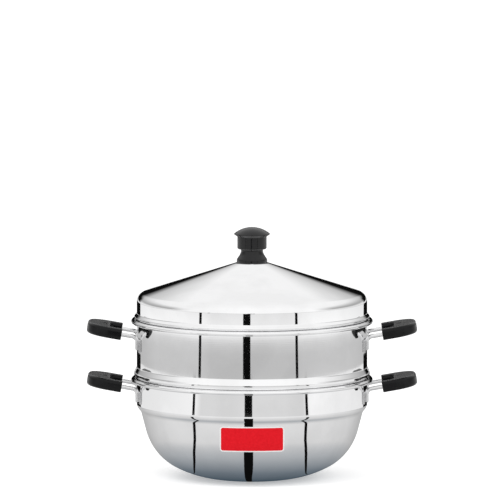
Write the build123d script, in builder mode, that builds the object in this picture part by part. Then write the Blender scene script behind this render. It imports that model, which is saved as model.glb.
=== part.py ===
from build123d import *

import os
from math import acos, asin, cos, degrees, radians, sin, sqrt, tan

# Idli steamer for the stove: a deep round-bottomed pan, a steamer tier that nests on its rim,
# a rack of two five-cup plates that stands in the tier, and a conical lid with a knob.
# Millimetres, +Z up. The origin is the centre of the pan's base, and the handles lie along X.

# Spun sheet shells
sheet = 0.7
mouth_radius = 128.0  # inside radius of the pan's and the tier's mouth
rim_radius = 3.5  # rolled rim, round in section
rim_sides = 8
bead_face = 4.0  # height of the outermost band of the bead that rests on the rim below
flank_angle = 45  # slope of the bead's flanks
seat_clearance = 0.3
skirt_clearance = 0.7  # between the mouth and the skirt that drops into it
overrun = 5.0  # how far a cut runs past what it cuts

# Pan, its bowl drawn by shares of the mouth's radius
pan_height = 112.7
pan_wall_height = 29.4  # from the step to the rim's centre
pan_step_rise = 4.6
base_share = 0.344
base_edge_angle = 6.3
lower_bowl_share = 0.923
lower_bowl_angle = 27.9
lower_bowl_steps = 2
upper_bowl_share = 0.49
upper_bowl_angle = 75.3
upper_bowl_steps = 4

# Steamer tier
tier_wall_height = 58.4  # from the bead's centre to the rim's centre
tier_skirt_depth = 23.0  # from the bead's centre to the underside
tier_corner_radius = 6.0
tier_corner_steps = 2
flange_width = 15.0
floor_clearance = 0.1
floor_hole_radius = 4.0
floor_ring_pitch = 27.0
floor_rings = 4
floor_ring_holes = 6  # more holes in each ring than in the ring inside it
hole_sides = 8

# Handles, the same on the pan and the tier
handle_tilt = 10
pan_handle_drop = 7.2  # from the rim's centre to the rods, at the wall
tier_handle_drop = 14.3
rod_radius = 2.3
rod_bend_radius = 6.0
rod_bend_steps = 3
strap_thickness = 1.2
strap_height = 14.0
strap_margin = 5.0
weld_clearance = 0.05
grip_width = 70.0
grip_length = 39.0
grip_thickness = 12.5
grip_corner_radius = 24.0
grip_edge_chamfer = 3.0
grip_gap = 17.0  # bare rod between the wall and the grip
notch_width = 44.0
notch_depth = 14.0
rod_insertion = 22.0
bore_clearance = 0.05

# Rack, the plates' cups and web holes placed by shares of the plate's radius
plate_clearance = 4.1  # between the plates and the tier's skirt
plate_edge_radius = 1.2
plate_edge_sides = 6
plate_edge_rise = 1.6
plate_edge_slope_width = 3.2
cups = 5
cup_circle_share = 0.596
cup_share = 0.331
cup_depth = 23.0
cup_steps = 3
first_cup_angle = 90
plate_pitch = 29.5
lower_plate_height = 38.0  # top of the lower plate above the foot's underside
web_hole_radius = 3.0
inner_web_hole_share = 0.8
outer_web_hole_share = 0.93
outer_web_hole_angle = 8.5
hub_hole_radius = 1.6
hub_hole_circle = 15.0
cup_hole_radius = 1.5
cup_hole_circle = 16.0
cup_holes = 4
cup_hole_sides = 6
turning_clearance = 0.1
spindle_radius = 3.0
spindle_tail = 9.0  # below the neck's top
spindle_reach = 12.0  # above the upper plate
foot_radius = 33.0  # of the drum, just above its lip
foot_lip_width = 2.4
foot_lip_height = 2.2
foot_taper = 3.5
foot_drum_height = 15.0
foot_sheet = 0.8
neck_radius = 15.6
spacer_base_radius = 13.0
spacer_waist_radius = 10.5
spacer_top_radius = 20.5
spacer_waist_height = 7.0
spacer_foot_height = 2.4
spacer_lip_height = 3.0
nut_radius = 5.8
nut_height = 5.0
lifting_flange_radius = 9.0
lifting_flange_height = 1.6
lifting_wall = 1.1  # around the spindle, at the foot of the barrel
lifting_height = 21.7
lifting_point_height = 3.0
lifting_point_radius = 0.8

# Lid
lid_skirt_depth = 19.7
lid_shoulder_height = 15.5  # from the bead's centre to the centre of the shoulder's bend
lid_shoulder_radius = 10.0
lid_shoulder_steps = 3
lid_cone_angle = 18
lid_top_radius = 18.5
knob_base_radius = 17.0
knob_foot_chamfer = 1.5
knob_foot_height = 4.0
knob_neck_radius = 13.1
knob_neck_height = 15.6
knob_flare_radius = 12.0
knob_body_radius = 16.3
knob_body_height = 14.7
knob_body_chamfer = 1.8
knob_cap_radius = 20.4
knob_cap_edge = 0.9
knob_height = 40.0
knob_steps = 4
screw_radius = 2.5
screw_length = 16.0
screw_head_radius = 4.8
screw_head_height = 2.6
washer_radius = 9.0
washer_height = 1.0

# Radii of the spun shells, and heights in the nested stack
bead_reach = mouth_radius + rim_radius  # out to the centre of the rolled rim
wall_radius = mouth_radius + sheet
skirt_radius = mouth_radius - skirt_clearance
flank_slope = tan(radians(flank_angle))
seat_rise = bead_face / 2 + (rim_radius + seat_clearance) / sin(radians(flank_angle))
pan_rim_z = pan_height - rim_radius
tier_bead_z = pan_rim_z + seat_rise
tier_rim_z = tier_bead_z + tier_wall_height
tier_base_z = tier_bead_z - tier_skirt_depth
lid_bead_z = tier_rim_z + seat_rise
floor_z = tier_base_z + sheet + floor_clearance
rack_z = floor_z + sheet + floor_clearance
lower_plate_z = rack_z + lower_plate_height
upper_plate_z = lower_plate_z + plate_pitch
spindle_hole_radius = spindle_radius + turning_clearance


def arc_points(centre, radius, start, end, steps):
    """Points along an arc, from the start angle to the end angle in degrees, both included."""
    angles = [radians(start + (end - start) * i / steps) for i in range(steps + 1)]
    return [(centre[0] + radius * cos(a), centre[1] + radius * sin(a)) for a in angles]


def bead_corners(centre_z):
    """The bead's corners on the inside of the sheet, from the skirt up to the wall above."""
    bend = sheet * tan(radians(flank_angle / 2))
    half = bead_face / 2 - bend
    inside = bead_reach - sheet
    return [
        (skirt_radius - sheet, centre_z - half - (bead_reach - skirt_radius) / flank_slope),
        (inside, centre_z - half),
        (inside, centre_z + half),
        (mouth_radius, centre_z + half + (bead_reach - wall_radius) / flank_slope),
    ]


def export(part, name):
    part.label = name
    export_step(part, f"parts/{name}.step")


os.makedirs("parts", exist_ok=True)

# Pan: a flat base, a round bowl of two arcs, a step, a straight wall and a rolled rim
lower_bowl_radius = lower_bowl_share * mouth_radius
upper_bowl_radius = upper_bowl_share * mouth_radius
lower_centre = (
    base_share * mouth_radius - lower_bowl_radius * sin(radians(base_edge_angle)),
    sheet + lower_bowl_radius * cos(radians(base_edge_angle)),
)
centre_shift = lower_bowl_radius - upper_bowl_radius
upper_centre = (
    lower_centre[0] + centre_shift * sin(radians(lower_bowl_angle)),
    lower_centre[1] - centre_shift * cos(radians(lower_bowl_angle)),
)
lower_bowl = arc_points(
    lower_centre, lower_bowl_radius, base_edge_angle - 90, lower_bowl_angle - 90, lower_bowl_steps
)
upper_bowl = arc_points(
    upper_centre, upper_bowl_radius, lower_bowl_angle - 90, upper_bowl_angle - 90, upper_bowl_steps
)
step_top_z = pan_rim_z - pan_wall_height
step_z = step_top_z - pan_step_rise
step_radius = upper_bowl[-1][0] + (step_z - upper_bowl[-1][1]) / tan(radians(upper_bowl_angle))
with BuildPart() as kadai_bowl:
    with BuildSketch(Plane.XZ):
        with BuildLine():
            Polyline(
                (0, sheet),
                *lower_bowl,
                *upper_bowl[1:],
                (step_radius, step_z),
                (mouth_radius, step_top_z),
                (mouth_radius, pan_rim_z),
            )
            offset(amount=sheet, side=Side.RIGHT, kind=Kind.INTERSECTION)
        make_face()
        with Locations((bead_reach, pan_rim_z)):
            RegularPolygon(rim_radius, rim_sides, major_radius=False, rotation=180 / rim_sides)
    revolve(axis=Axis.Z)
export(kadai_bowl.part, "kadai_bowl")

# Tier: an inward flange, a skirt, a bead, a straight wall and a rolled rim
inner_skirt = skirt_radius - sheet
corner_bend = tier_corner_radius - sheet
tier_corner = arc_points(
    (inner_skirt - corner_bend, tier_base_z + tier_corner_radius),
    corner_bend,
    -90,
    0,
    tier_corner_steps,
)
with BuildPart() as steamer_wall:
    with BuildSketch(Plane.XZ):
        with BuildLine():
            Polyline(
                (inner_skirt - flange_width, tier_base_z + sheet),
                *tier_corner,
                *bead_corners(tier_bead_z),
                (mouth_radius, tier_rim_z),
            )
            offset(amount=sheet, side=Side.RIGHT, kind=Kind.INTERSECTION)
        make_face()
        with Locations((bead_reach, tier_rim_z)):
            RegularPolygon(rim_radius, rim_sides, major_radius=False, rotation=180 / rim_sides)
    revolve(axis=Axis.Z)
export(steamer_wall.part, "steamer_wall")

# Perforated disc on the tier's flange, holes in rings
with BuildPart() as steamer_floor:
    with BuildSketch(Plane.XY.offset(floor_z)):
        Circle(inner_skirt - tier_corner_radius)
        RegularPolygon(floor_hole_radius, hole_sides, mode=Mode.SUBTRACT)
        for ring in range(1, floor_rings):
            with PolarLocations(ring * floor_ring_pitch, ring * floor_ring_holes):
                RegularPolygon(floor_hole_radius, hole_sides, mode=Mode.SUBTRACT)
    extrude(amount=sheet)
export(steamer_floor.part, "steamer_floor")

# Handles: a welded strap with two bent rods, and a moulded grip on the rods
strap_inside = wall_radius + weld_clearance
strap_outside = strap_inside + strap_thickness
rod_spread = (grip_width + notch_width) / 2  # along the middles of the grip's two arms
strap_width = rod_spread + 2 * (rod_radius + strap_margin)
half_spread = rod_spread / 2
tilt = radians(handle_tilt)
rod_x = sqrt(strap_outside**2 - half_spread**2) + rod_radius / 2
tip_reach = grip_gap + rod_insertion
handles = [
    ("kadai", "left", -1, pan_rim_z - pan_handle_drop),
    ("kadai", "right", 1, pan_rim_z - pan_handle_drop),
    ("steamer", "left", -1, tier_rim_z - tier_handle_drop),
    ("steamer", "right", 1, tier_rim_z - tier_handle_drop),
]
for carrier, hand, side, root_z in handles:
    tip = (wall_radius + tip_reach * cos(tilt), root_z + tip_reach * sin(tilt))
    corner_z = tip[1] - (tip[0] - rod_x) * tan(tilt)
    bend_centre = (
        rod_x + rod_bend_radius,
        corner_z - rod_bend_radius * (1 / cos(tilt) - tan(tilt)),
    )
    leg_points = [
        (rod_x, root_z - strap_height),
        *arc_points(bend_centre, rod_bend_radius, 180, 90 + handle_tilt, rod_bend_steps),
        tip,
    ]
    with BuildPart() as bracket:
        with BuildSketch(Plane.XY.offset(root_z - rod_radius - strap_height)):
            Circle(strap_outside)
            Circle(strap_inside, mode=Mode.SUBTRACT)
            with Locations((side * strap_outside, 0)):
                Rectangle(strap_outside, strap_width, mode=Mode.INTERSECT)
        extrude(amount=strap_height)
        for across in (-half_spread, half_spread):
            with BuildLine() as leg:
                Polyline(*[(side * x, across, z) for x, z in leg_points])
            with BuildSketch(Plane(origin=leg.line @ 0, z_dir=leg.line % 0)):
                Circle(rod_radius)
            sweep(path=leg.line, transition=Transition.RIGHT)
    export(bracket.part, f"{carrier}_bracket_{hand}")

    outward = Plane(
        origin=(side * wall_radius, 0, root_z),
        x_dir=(side * cos(tilt), 0, sin(tilt)),
        z_dir=(-side * sin(tilt), 0, cos(tilt)),
    )
    with BuildPart() as grip:
        with BuildSketch(outward.offset(-grip_thickness / 2)):
            with BuildLine():
                half = grip_width / 2
                FilletPolyline(
                    (grip_gap, -half),
                    (grip_gap + grip_length, -half),
                    (grip_gap + grip_length, half),
                    (grip_gap, half),
                    radius=grip_corner_radius,
                )
                Polyline(
                    (grip_gap, half),
                    (grip_gap, notch_width / 2),
                    (grip_gap + notch_depth, notch_width / 2),
                    (grip_gap + notch_depth, -notch_width / 2),
                    (grip_gap, -notch_width / 2),
                    (grip_gap, -half),
                )
            make_face()
        extrude(amount=grip_thickness)
        broad_faces = [
            face for face in grip.faces() if abs(face.normal_at().dot(outward.z_dir)) > cos(tilt)
        ]
        chamfer([edge for face in broad_faces for edge in face.edges()], grip_edge_chamfer)
        bores = Plane(
            origin=outward.from_local_coords((grip_gap, 0, 0)),
            x_dir=(0, 1, 0),
            z_dir=outward.x_dir,
        )
        with BuildSketch(bores):
            with GridLocations(rod_spread, 0, 2, 1):
                Circle(rod_radius + bore_clearance)
        extrude(amount=rod_insertion + bore_clearance, mode=Mode.SUBTRACT)
    export(grip.part, f"{carrier}_grip_{hand}")

# Idli cups: the outside and the inside of one cup, as bowls about the plate's axis
plate_radius = skirt_radius - sheet - plate_clearance
cup_radius = cup_share * plate_radius
cup_circle_radius = cup_circle_share * plate_radius
cup_sphere = (cup_radius**2 + cup_depth**2) / (2 * cup_depth)
cup_centre = (0, cup_sphere - cup_depth)
cup_span = degrees(asin(cup_radius / cup_sphere))
outer_span = degrees(acos((cup_centre[1] + sheet) / (cup_sphere + sheet)))
outer_bowl = arc_points(cup_centre, cup_sphere + sheet, -90, outer_span - 90, cup_steps)
inner_bowl = arc_points(cup_centre, cup_sphere, -90, cup_span - 90, cup_steps)
with BuildPart() as cup_outside:
    with BuildSketch(Plane.XZ):
        with BuildLine():
            Polyline(*outer_bowl, (0, -sheet), close=True)
        make_face()
    revolve(axis=Axis.Z)
with BuildPart() as cup_inside:
    with BuildSketch(Plane.XZ):
        with BuildLine():
            Polyline(*inner_bowl, (cup_radius, sheet), (0, sheet), close=True)
        make_face()
    revolve(axis=Axis.Z)

# Idli plates: a flat sheet with a turned-up, rolled edge, five pressed cups and steam holes
web_angle = first_cup_angle + 360 / cups / 2
for name, top_z in (("lower", lower_plate_z), ("upper", upper_plate_z)):
    with BuildPart() as plate:
        with BuildSketch(Plane.XZ):
            with BuildLine():
                edge_z = top_z + plate_edge_rise
                edge_radius = plate_radius - plate_edge_radius
                Polyline(
                    (spindle_hole_radius, top_z),
                    (edge_radius - plate_edge_slope_width, top_z),
                    (edge_radius, edge_z),
                )
                offset(amount=sheet, side=Side.RIGHT, kind=Kind.INTERSECTION)
            make_face()
            with Locations((edge_radius, edge_z)):
                RegularPolygon(plate_edge_radius, plate_edge_sides)
        revolve(axis=Axis.Z)
        with Locations((0, 0, top_z)):
            with PolarLocations(cup_circle_radius, cups, start_angle=first_cup_angle):
                add(cup_outside.part)
                add(cup_inside.part, mode=Mode.SUBTRACT)
        with BuildSketch(Plane.XY.offset(top_z)):
            with PolarLocations(inner_web_hole_share * plate_radius, cups, start_angle=web_angle):
                RegularPolygon(web_hole_radius, hole_sides)
            for turn in (-outer_web_hole_angle, outer_web_hole_angle):
                turned = web_angle + turn
                with PolarLocations(outer_web_hole_share * plate_radius, cups, start_angle=turned):
                    RegularPolygon(web_hole_radius, hole_sides)
            with PolarLocations(hub_hole_circle, cups, start_angle=web_angle):
                RegularPolygon(hub_hole_radius, hole_sides)
            with PolarLocations(cup_circle_radius, cups, start_angle=first_cup_angle):
                with PolarLocations(cup_hole_circle, cup_holes):
                    RegularPolygon(cup_hole_radius, cup_hole_sides)
        extrude(amount=-cup_depth - overrun, mode=Mode.SUBTRACT)
    export(plate.part, f"{name}_idli_plate")

# Rack foot: a spun drum with a lip, drawn up to a neck whose top carries the lower plate
neck_top_z = lower_plate_z - sheet - turning_clearance
drum_top_z = rack_z + foot_drum_height
with BuildPart() as rack_foot:
    with BuildSketch(Plane.XZ):
        with BuildLine():
            Polyline(
                (foot_radius + foot_lip_width, rack_z),
                (foot_radius + foot_lip_width, rack_z + foot_lip_height),
                (foot_radius, rack_z + foot_lip_height),
                (foot_radius - foot_taper, drum_top_z),
                (neck_radius, drum_top_z),
                (neck_radius, neck_top_z),
                (spindle_radius + bore_clearance, neck_top_z),
            )
            offset(amount=foot_sheet, side=Side.LEFT, kind=Kind.INTERSECTION)
        make_face()
    revolve(axis=Axis.Z)
export(rack_foot.part, "rack_foot")

# Spindle and the nut that holds it in the neck
spindle_bottom_z = neck_top_z - spindle_tail
spindle_length = upper_plate_z + spindle_reach - spindle_bottom_z
with BuildPart() as spindle_rod:
    with BuildSketch(Plane.XY.offset(spindle_bottom_z)):
        Circle(spindle_radius)
    extrude(amount=spindle_length)
export(spindle_rod.part, "spindle_rod")

with BuildPart() as foot_nut:
    with BuildSketch(Plane.XY.offset(neck_top_z - foot_sheet)):
        RegularPolygon(nut_radius, 6)
        Circle(spindle_radius + bore_clearance, mode=Mode.SUBTRACT)
    extrude(amount=-nut_height)
export(foot_nut.part, "foot_nut")

# Flared sleeve that carries the upper plate
spacer_base_z = lower_plate_z + turning_clearance
spacer_top_z = upper_plate_z - sheet - turning_clearance
with BuildPart() as plate_spacer:
    with BuildSketch(Plane.XZ):
        with BuildLine():
            Polyline(
                (spacer_base_radius, spacer_base_z),
                (spacer_base_radius, spacer_base_z + spacer_foot_height),
                (spacer_waist_radius, spacer_base_z + spacer_waist_height),
                (spacer_top_radius, spacer_top_z - spacer_lip_height),
                (spacer_top_radius, spacer_top_z),
            )
            offset(amount=foot_sheet, side=Side.LEFT, kind=Kind.INTERSECTION)
        make_face()
        with Locations((spindle_radius + bore_clearance, spacer_base_z)):
            Rectangle(
                spacer_base_radius - foot_sheet / 2 - spindle_radius - bore_clearance,
                foot_sheet,
                align=(Align.MIN, Align.MIN),
            )
    revolve(axis=Axis.Z)
export(plate_spacer.part, "plate_spacer")

# Lifting nut: a flange, a long tapered barrel and a point, bored from below for the spindle
lifting_z = upper_plate_z + turning_clearance
with BuildPart() as lifting_nut:
    with BuildSketch(Plane.XZ):
        with BuildLine():
            Polyline(
                (spindle_hole_radius, lifting_z),
                (lifting_flange_radius, lifting_z),
                (lifting_flange_radius, lifting_z + lifting_flange_height),
                (spindle_hole_radius + lifting_wall, lifting_z + lifting_flange_height),
                (spindle_radius, lifting_z + lifting_height - lifting_point_height),
                (lifting_point_radius, lifting_z + lifting_height),
                (0, lifting_z + lifting_height),
                (0, lifting_z + spindle_reach),
                (spindle_hole_radius, lifting_z + spindle_reach),
                close=True,
            )
        make_face()
    revolve(axis=Axis.Z)
export(lifting_nut.part, "lifting_nut")

# Lid: a skirt, a bead, a straight wall, a rounded shoulder and a cone with a flat top
lid_bend = lid_shoulder_radius - sheet
shoulder = arc_points(
    (wall_radius - lid_shoulder_radius, lid_bead_z + lid_shoulder_height),
    lid_bend,
    0,
    90 - lid_cone_angle,
    lid_shoulder_steps,
)
lid_top_z = shoulder[-1][1] + (shoulder[-1][0] - lid_top_radius) * tan(radians(lid_cone_angle))
screw_hole_radius = screw_radius + bore_clearance
with BuildPart() as lid_shell:
    with BuildSketch(Plane.XZ):
        with BuildLine():
            Polyline(
                (inner_skirt, lid_bead_z - lid_skirt_depth),
                *bead_corners(lid_bead_z),
                *shoulder,
                (lid_top_radius, lid_top_z),
                (screw_hole_radius, lid_top_z),
            )
            offset(amount=sheet, side=Side.RIGHT, kind=Kind.INTERSECTION)
        make_face()
    revolve(axis=Axis.Z)
export(lid_shell.part, "lid_shell")

# Knob: a flared foot, a neck, a round body and a domed cap, bored from below for the screw
knob_z = lid_top_z + sheet
body_z = knob_z + knob_neck_height
cap_z = body_z + knob_body_height
cap_rise = knob_z + knob_height - cap_z - knob_cap_edge
cap_sphere = (knob_cap_radius**2 + cap_rise**2) / (2 * cap_rise)
cap_centre = (0, knob_z + knob_height - cap_sphere)
cap_span = degrees(asin(knob_cap_radius / cap_sphere))
flare_height = sqrt(knob_flare_radius**2 - (knob_flare_radius - knob_base_radius + knob_neck_radius) ** 2)
flare_centre = (knob_neck_radius + knob_flare_radius, knob_z + knob_foot_height + flare_height)
flare_span = degrees(asin(flare_height / knob_flare_radius))
bore_depth = screw_length - washer_height - sheet
with BuildPart() as lid_knob:
    with BuildSketch(Plane.XZ):
        with BuildLine():
            Polyline(
                (screw_hole_radius, knob_z),
                (knob_base_radius - knob_foot_chamfer, knob_z),
                (knob_base_radius, knob_z + knob_foot_chamfer),
                *arc_points(flare_centre, knob_flare_radius, 180 + flare_span, 180, knob_steps),
                (knob_neck_radius, body_z),
                (knob_body_radius - knob_body_chamfer, body_z),
                (knob_body_radius, body_z + knob_body_chamfer),
                (knob_body_radius, cap_z),
                (knob_cap_radius, cap_z),
                *arc_points(cap_centre, cap_sphere, 90 - cap_span, 90, knob_steps),
                (0, knob_z + bore_depth + bore_clearance),
                (screw_hole_radius, knob_z + bore_depth + bore_clearance),
                close=True,
            )
        make_face()
    revolve(axis=Axis.Z)
export(lid_knob.part, "lid_knob")

# Washer and screw that hold the knob from inside the lid
with BuildPart() as knob_washer:
    with BuildSketch(Plane.XY.offset(lid_top_z)):
        Circle(washer_radius)
        Circle(screw_hole_radius, mode=Mode.SUBTRACT)
    extrude(amount=-washer_height)
export(knob_washer.part, "knob_washer")

screw_seat_z = lid_top_z - washer_height
with BuildPart() as knob_screw:
    with BuildSketch(Plane.XY.offset(screw_seat_z - screw_head_height)):
        Circle(screw_head_radius)
    extrude(amount=screw_head_height)
    with BuildSketch(Plane.XY.offset(screw_seat_z)):
        Circle(screw_radius)
    extrude(amount=screw_length)
export(knob_screw.part, "knob_screw")
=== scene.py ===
import math

import bmesh
import bpy
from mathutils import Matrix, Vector


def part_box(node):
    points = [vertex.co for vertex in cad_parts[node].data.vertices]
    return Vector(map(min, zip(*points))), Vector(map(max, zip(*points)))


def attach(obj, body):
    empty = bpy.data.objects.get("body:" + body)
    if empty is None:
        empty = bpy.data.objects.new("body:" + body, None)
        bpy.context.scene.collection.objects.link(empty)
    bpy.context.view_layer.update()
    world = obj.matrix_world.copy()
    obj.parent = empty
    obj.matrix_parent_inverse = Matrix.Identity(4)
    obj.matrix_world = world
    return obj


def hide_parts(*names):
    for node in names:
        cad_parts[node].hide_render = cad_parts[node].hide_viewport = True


# Idli steamer in mirror-polished steel with black bakelite grips and knob.
# The spun shells, the plates, the handles and the knob are modelled here with round sections
# and soft bends. They stand where the solids stand, and the small fasteners are the solids' own.

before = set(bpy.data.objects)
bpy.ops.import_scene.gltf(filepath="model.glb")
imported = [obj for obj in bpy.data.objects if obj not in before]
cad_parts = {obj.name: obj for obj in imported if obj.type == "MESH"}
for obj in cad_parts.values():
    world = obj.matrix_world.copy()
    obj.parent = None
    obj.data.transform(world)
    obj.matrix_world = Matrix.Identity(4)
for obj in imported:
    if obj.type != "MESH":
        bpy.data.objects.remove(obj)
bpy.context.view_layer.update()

mm = 0.001

# Sheet, rims and beads
sheet = 0.7 * mm
rim_radius = 3.5 * mm
curl_radius = rim_radius - sheet / 2
curl_sweep = 300
curl_steps = 20
curl_flatness = 0.74
bead_face = 4 * mm
bead_shoulder = 5.6 * mm
bead_bends = (3 * mm, 4.4 * mm, 4.4 * mm, 3 * mm)
lid_bead_face = 1.3 * mm
lid_bead_shoulder = 2.8 * mm
lid_bead_bends = (3 * mm, 1.5 * mm, 1.5 * mm, 2 * mm)
skirt_clearance = 0.7 * mm
bead_slope = 45

# Faces round the shells, the smaller turned pieces and the holes
turns = 144
small_turns = 96
nut_turns = 64
cup_turns = 72
rod_turns = 20
hole_turns = 20
web_hole_turns = 24
spindle_hole_turns = 32

# How near counts as the same place, as flush, and as one point
touching = sheet / 10
flush = sheet / 50
merging = sheet / 200

# Pan
base_edge_angle = 6.3
lower_bowl_angle = 27.9
upper_bowl_angle = 75.3
base_share = 0.344
lower_bowl_share = 0.923
upper_bowl_share = 0.49
pan_wall_height = 29.4 * mm
pan_step_rise = 4.6 * mm
step_bend = 8 * mm

# Tier
tier_wall_height = 58.4 * mm
tier_corner_radius = 6 * mm
flange_width = 15 * mm
floor_hole_radius = 4 * mm
floor_ring_pitch = 27 * mm
floor_rings = 4
floor_ring_holes = 6

# Lid
lid_skirt_depth = 19.7 * mm
lid_shoulder_height = 15.5 * mm
lid_shoulder_radius = 10 * mm
lid_cone_angle = 18
lid_top_radius = 18.5 * mm
lid_crease_bend = 6 * mm
screw_hole_radius = 2.55 * mm

# Knob, as heights above the lid
knob_base_radius = 17 * mm
knob_base_band = 4 * mm
knob_neck_radius = 12.3 * mm
knob_waist_height = 11 * mm
knob_neck_height = 15.6 * mm
knob_body_radius = 16.3 * mm
knob_cap_height = 29.4 * mm
knob_cap_radius = 20.4 * mm
knob_cap_lift = 3 * mm
knob_height = 40 * mm
knob_bends = (1.2 * mm, 2.5 * mm, 10 * mm, 1.6 * mm, 1.0 * mm)
knob_edge_bend = 0.5 * mm

# Idli plates
cups = 5
cup_circle_share = 0.596
cup_share = 0.331
cup_depth = 23 * mm
cup_lip_bend = 2.4 * mm
cup_lip_width = 2 * mm
plate_edge_radius = 1.2 * mm
plate_edge_rise = 1.6 * mm
plate_edge_sweep = 270
plate_edge_slope_width = 3.2 * mm
plate_edge_lead = 0.9 * mm
plate_slope_bend = 2 * mm
spindle_hole_radius = 3.1 * mm
web_hole_radius = 3 * mm
inner_web_hole_share = 0.8
outer_web_hole_share = 0.93
outer_web_hole_angle = 8.5
hub_hole_radius = 1.6 * mm
hub_hole_circle = 15 * mm
cup_hole_radius = 1.5 * mm
cup_hole_circle = 16 * mm
cup_holes = 4
punch_length = 12 * mm
punch_rise = 3 * mm

# Rack foot, spacer and lifting nut
foot_sheet = 0.8 * mm
foot_radius = 33 * mm
foot_lip_width = 2.4 * mm
foot_lip_height = 2.2 * mm
foot_taper = 3.5 * mm
foot_drum_height = 15 * mm
neck_radius = 15.6 * mm
foot_bends = (1.0 * mm, 1.2 * mm, 2.5 * mm, 2.5 * mm, 1.6 * mm)
spacer_base_radius = 13 * mm
spacer_waist_radius = 10.5 * mm
spacer_waist_height = 7 * mm
spacer_foot_height = 2.4 * mm
spacer_lip_height = 3 * mm
spacer_bends = (0.8 * mm, 1.5 * mm, 6 * mm, 9 * mm)
nut_flange_height = 1.6 * mm
nut_barrel_radius = 4.2 * mm
nut_tip_radius = 3 * mm
nut_point_height = 3 * mm
nut_bore_height = 12 * mm
nut_flange_bends = (0.4 * mm, 0.6 * mm)
nut_barrel_bends = (1.5 * mm, 2.0 * mm)

# Handles
handle_tilt = 10
rod_radius = 2.3 * mm
rod_bend_radius = 6 * mm
rod_insertion = 22 * mm
strap_thickness = 1.2 * mm
strap_height = 14 * mm
strap_margin = 5 * mm
strap_edge_bevel = 0.3 * mm
weld_clearance = 0.05 * mm
grip_gap = 17 * mm
grip_length = 39 * mm
grip_width = 70 * mm
grip_thickness = 12.5 * mm
grip_corner_radius = 24 * mm
grip_edge_bend = 3.6 * mm
grip_bend_steps = 6
grip_end_bevel = 0.5 * mm
notch_width = 44 * mm
notch_depth = 14 * mm
notch_bend = 5 * mm
dimple_radius = 2.6 * mm
dimple_depth = 2 * mm
dimple_inset = 6 * mm
pan_handle_drop = 7.2 * mm
tier_handle_drop = 14.3 * mm

# Label on the front of the pan: plain red with a thin white border
label_width = 71.6 * mm
label_height = 29 * mm
label_top = 71.2 * mm
label_corner = 3.5 * mm
label_border = 1.3 * mm
label_thickness = 0.12 * mm
label_columns = 36
label_rows = 14

# Places read from the solids
pan_low, pan_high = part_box("kadai_bowl")
tier_low, tier_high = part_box("steamer_wall")
lid_low, lid_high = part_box("lid_shell")
mouth_radius = pan_high.x - 2 * rim_radius
wall_middle = mouth_radius + sheet / 2
skirt_middle = mouth_radius - skirt_clearance - sheet / 2
bead_middle = mouth_radius + rim_radius - sheet / 2
pan_rim_z = pan_high.z - rim_radius
tier_rim_z = tier_high.z - rim_radius
tier_bead_z = tier_rim_z - tier_wall_height
lid_bead_z = lid_low.z + lid_skirt_depth


# ---------- drawing an outline and turning it ----------

def select_where(test):
    """Selects the points of the piece in edit mode whose place passes the test."""
    bpy.ops.mesh.select_all(action="DESELECT")
    shape = bmesh.from_edit_mesh(bpy.context.edit_object.data)
    for point in shape.verts:
        point.select = test(point.co)
    shape.select_flush_mode()
    bmesh.update_edit_mesh(bpy.context.edit_object.data)


def begin_outline(name, x, z, y=0.0):
    """A new piece of one point, in edit mode, from which an outline is drawn."""
    bpy.ops.object.select_all(action="DESELECT")
    bpy.ops.mesh.primitive_plane_add(enter_editmode=True)
    bpy.context.object.name = name
    bpy.context.object.data.name = name
    bpy.ops.mesh.select_mode(type="VERT")
    bpy.ops.mesh.merge(type="CENTER")
    bpy.ops.transform.translate(value=(x, y, z))


def pen():
    """Where the last point of the outline is."""
    shape = bmesh.from_edit_mesh(bpy.context.edit_object.data)
    return next(point.co.copy() for point in shape.verts if point.select)


def line_to(x, z, y=0.0):
    step = Vector((x, y, z)) - pen()
    bpy.ops.mesh.extrude_vertices_move(TRANSFORM_OT_translate={"value": step})


def lines_through(places):
    for x, z in places:
        line_to(x, z)


def arc_about(x, z, degrees, steps):
    """Carries the outline round a centre, anticlockwise as seen with X right and Z up."""
    bpy.ops.mesh.spin(steps=steps, angle=math.radians(degrees), center=(x, 0, z), axis=(0, 1, 0))


def soften(corner, bend, steps=6):
    """Rounds the outline's corner at a place to a radius."""
    corner = Vector(corner)
    select_where(lambda place: (place - corner).length < touching)
    shape = bmesh.from_edit_mesh(bpy.context.edit_object.data)
    point = next(point for point in shape.verts if point.select)
    before, after = [edge.other_vert(point).co - point.co for edge in point.link_edges]
    reach = bend / math.tan(before.angle(after) / 2)
    bpy.ops.mesh.bevel(offset=reach, segments=steps, affect="VERTICES")


def soften_corners(places, bends, steps=6):
    """Rounds several corners of the outline, each to its own radius."""
    for (x, z), bend in zip(places, bends):
        soften((x, 0, z), bend, steps)


def close_mesh():
    bpy.ops.mesh.select_all(action="SELECT")
    bpy.ops.mesh.remove_doubles(threshold=merging)
    bpy.ops.mesh.normals_make_consistent(inside=False)


def close_piece():
    """Closes the mesh, leaves edit mode and gives the piece."""
    close_mesh()
    bpy.ops.object.mode_set(mode="OBJECT")
    return bpy.context.object


def spin_upright(steps, angle=math.tau, x=0.0, **how):
    """Spins what is selected about an upright axis."""
    bpy.ops.mesh.spin(steps=steps, angle=angle, center=(x, 0, 0), axis=(0, 0, 1), **how)


def turn_outline(steps=turns):
    """Spins the outline into a shell about the steamer's axis."""
    bpy.ops.mesh.select_all(action="SELECT")
    spin_upright(steps)
    return close_piece()


def take_up(piece):
    """Selects one piece alone."""
    bpy.ops.object.select_all(action="DESELECT")
    piece.select_set(True)
    bpy.context.view_layer.objects.active = piece


def apply_modifier(piece, kind, **settings):
    modifier = piece.modifiers.new(kind.title(), kind)
    for key, value in settings.items():
        setattr(modifier, key, value)
    bpy.ops.object.modifier_apply(modifier=modifier.name)


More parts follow.
